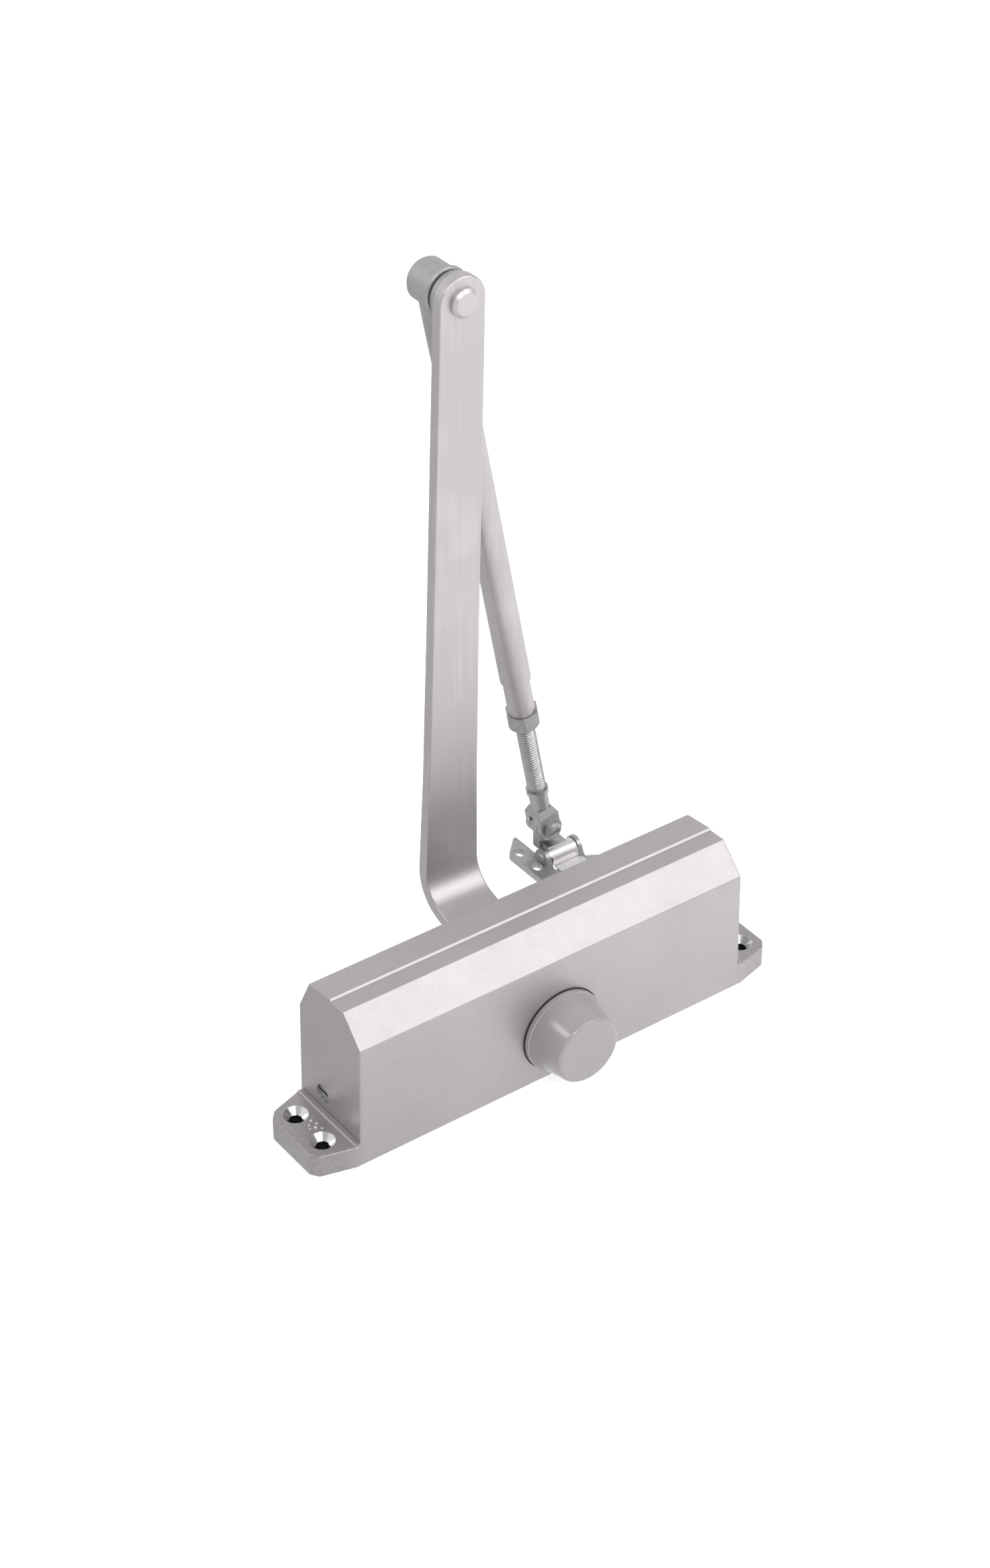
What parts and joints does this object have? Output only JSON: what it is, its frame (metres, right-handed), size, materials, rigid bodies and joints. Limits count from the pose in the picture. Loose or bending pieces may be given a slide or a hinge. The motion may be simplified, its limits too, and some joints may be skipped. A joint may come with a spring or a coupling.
{
  "type": "door closer",
  "caption": "Overhead rack-and-pinion hydraulic door closer with a round pinion cap, a flat main arm, an adjustable forearm and a hinged fixing shoe.",
  "frame": {"origin": "Middle of the four-hole fixing pattern, on the mounting face of the body.", "axes": "+X along the body towards the end plug and the spring, +Y along the pinion towards the arm, +Z away from the mounting face."},
  "size_m": [0.229, 0.1247, 0.3232],
  "materials": {
    "silver_paint": "satin silver powder coat on die-cast aluminium",
    "arm_paint": "satin silver paint on steel",
    "zinc_steel": "zinc-plated steel, satin",
    "bright_steel": "machined steel, bright",
    "case_hardened_steel": "case-hardened steel, ground",
    "spring_steel": "oil-tempered spring wire",
    "cast_iron_piston": "machined iron",
    "bronze": "sintered bronze",
    "nitrile_rubber": "nitrile rubber",
    "seal_plastic": "glass-filled seal plastic",
    "cap_plastic": "warm grey moulded plastic, semi-gloss"
  },
  "bodies": {
    "body": {"closer_body": "silver_paint", "end_plug": "zinc_steel", "end_plug_seal": "nitrile_rubber", "front_bearing": "bronze", "front_bearing_nut": "zinc_steel", "front_pinion_seal": "nitrile_rubber", "rear_bearing": "bronze", "rear_bearing_nut": "zinc_steel", "rear_pinion_seal": "nitrile_rubber", "pinion_cap": "cap_plastic"},
    "sweep_valve": {"sweep_valve_screw": "zinc_steel", "sweep_valve_seal": "nitrile_rubber"},
    "latch_valve": {"latch_valve_screw": "zinc_steel", "latch_valve_seal": "nitrile_rubber"},
    "pinion": {"pinion_shaft": "case_hardened_steel", "main_arm": "arm_paint", "arm_washer": "zinc_steel", "arm_screw": "zinc_steel", "elbow_rivet": "arm_paint", "elbow_washer": "zinc_steel"},
    "piston": {"rack_piston": "cast_iron_piston", "piston_rings": "seal_plastic", "check_valve_ball": "case_hardened_steel", "check_valve_retainer": "bronze", "closing_spring": "spring_steel"},
    "forearm": {"forearm_head": "arm_paint", "forearm_tube": "arm_paint", "lock_nut": "zinc_steel"},
    "rod": {"adjusting_rod": "zinc_steel", "fork_pin": "zinc_steel"},
    "knuckle": {"knuckle_block": "zinc_steel", "knuckle_barrel": "bright_steel"},
    "shoe": {"shoe": "zinc_steel", "shoe_pin": "zinc_steel"}
  },
  "joints": [
    {"name": "pinion_turn", "type": "hinge", "parent": "body", "child": "pinion", "pos_m": [0.0025, 0, 0.0219], "axis": [0, 1, 0], "range_deg": [0, 150], "stiffness_Nm_per_rad": 2.33, "springref_deg": -63.03},
    {"name": "piston_travel", "type": "slide", "parent": "body", "child": "piston", "axis": [1, 0, 0], "range_m": [0, 0.0236], "deforming": ["closing_spring"]},
    {"name": "elbow_pivot", "type": "hinge", "parent": "pinion", "child": "forearm", "pos_m": [0.01098, 0.0712, 0.31278], "axis": [0, 1, 0], "range_deg": [-20, 150]},
    {"name": "rod_adjust", "type": "slide", "parent": "forearm", "child": "rod", "axis": [0.1882, 0, -0.9821], "range_m": [-0.02, 0.03]},
    {"name": "fork_pivot", "type": "hinge", "parent": "rod", "child": "knuckle", "pos_m": [0.06267, 0.0712, 0.04308], "axis": [0, 1, 0], "range_deg": [-60, 60]},
    {"name": "shoe_tilt", "type": "hinge", "parent": "knuckle", "child": "shoe", "pos_m": [0.0655, 0.064, 0.031], "axis": [1, 0, 0], "range_deg": [-50, 30]},
    {"name": "sweep_valve_turn", "type": "hinge", "parent": "body", "child": "sweep_valve", "pos_m": [-0.09, 0.0052, 0.0185], "axis": [1, 0, 0], "range_deg": [-180, 180]},
    {"name": "latch_valve_turn", "type": "hinge", "parent": "body", "child": "latch_valve", "pos_m": [0.09, 0.004, 0.0585], "axis": [1, 0, 0], "range_deg": [-180, 180]}
  ],
  "couplings": [
    {"joint": "piston_travel", "follows": "pinion_turn", "m_per_rad": 0.009}
  ]
}
